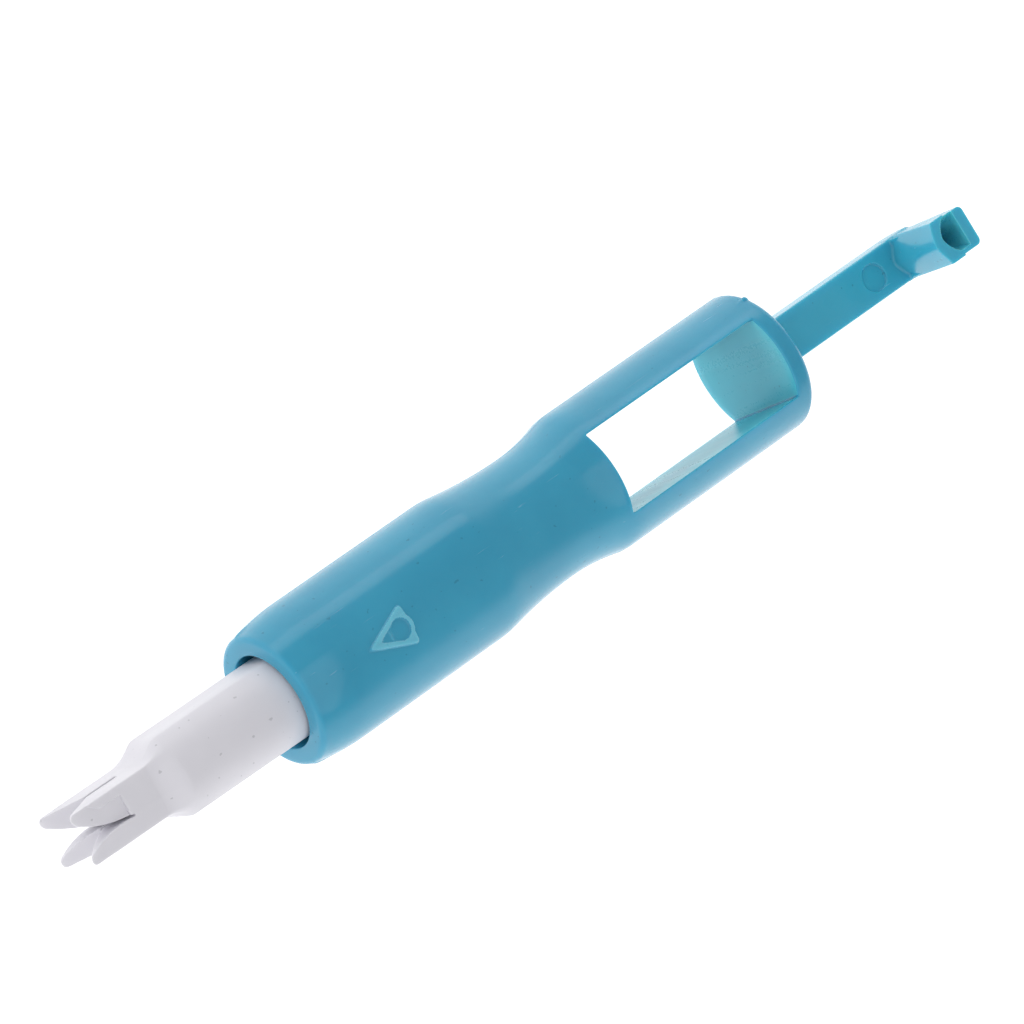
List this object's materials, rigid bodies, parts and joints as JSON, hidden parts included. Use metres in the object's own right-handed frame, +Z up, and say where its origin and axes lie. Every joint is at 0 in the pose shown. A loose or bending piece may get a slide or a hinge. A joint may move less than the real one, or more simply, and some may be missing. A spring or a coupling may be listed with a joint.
{
  "type": "needle threader",
  "caption": "Pen-like sewing-machine needle threader: waisted handle with a window, a sprung forked nose at one end and a needle-holding column on an arm at the other.",
  "frame": {"origin": "on the surface the tool lies on, under the middle of its length and width", "axes": "+X along the tool from the forked nose to the needle holder, +Z up, the way the needle holder's socket opens, +Y to the left seen from the nose"},
  "size_m": [0.1, 0.013, 0.0138],
  "materials": {
    "turquoise_plastic": "glossy moulded plastic, slightly translucent",
    "white_plastic": "satin moulded plastic, translucent white",
    "steel": "bright drawn wire"
  },
  "bodies": {
    "handle_body": {"handle": "turquoise_plastic", "pin_carrier": "white_plastic", "threading_pin": "steel", "return_spring": "steel"},
    "nose_body": {"threader_nose": "white_plastic"}
  },
  "joints": [
    {"name": "nose_slide", "type": "slide", "parent": "handle_body", "child": "nose_body", "axis": [1, 0, 0], "range_m": [0, 0.0038], "stiffness_N_per_m": 150, "springref_m": -0.004, "deforming": ["return_spring"]}
  ]
}
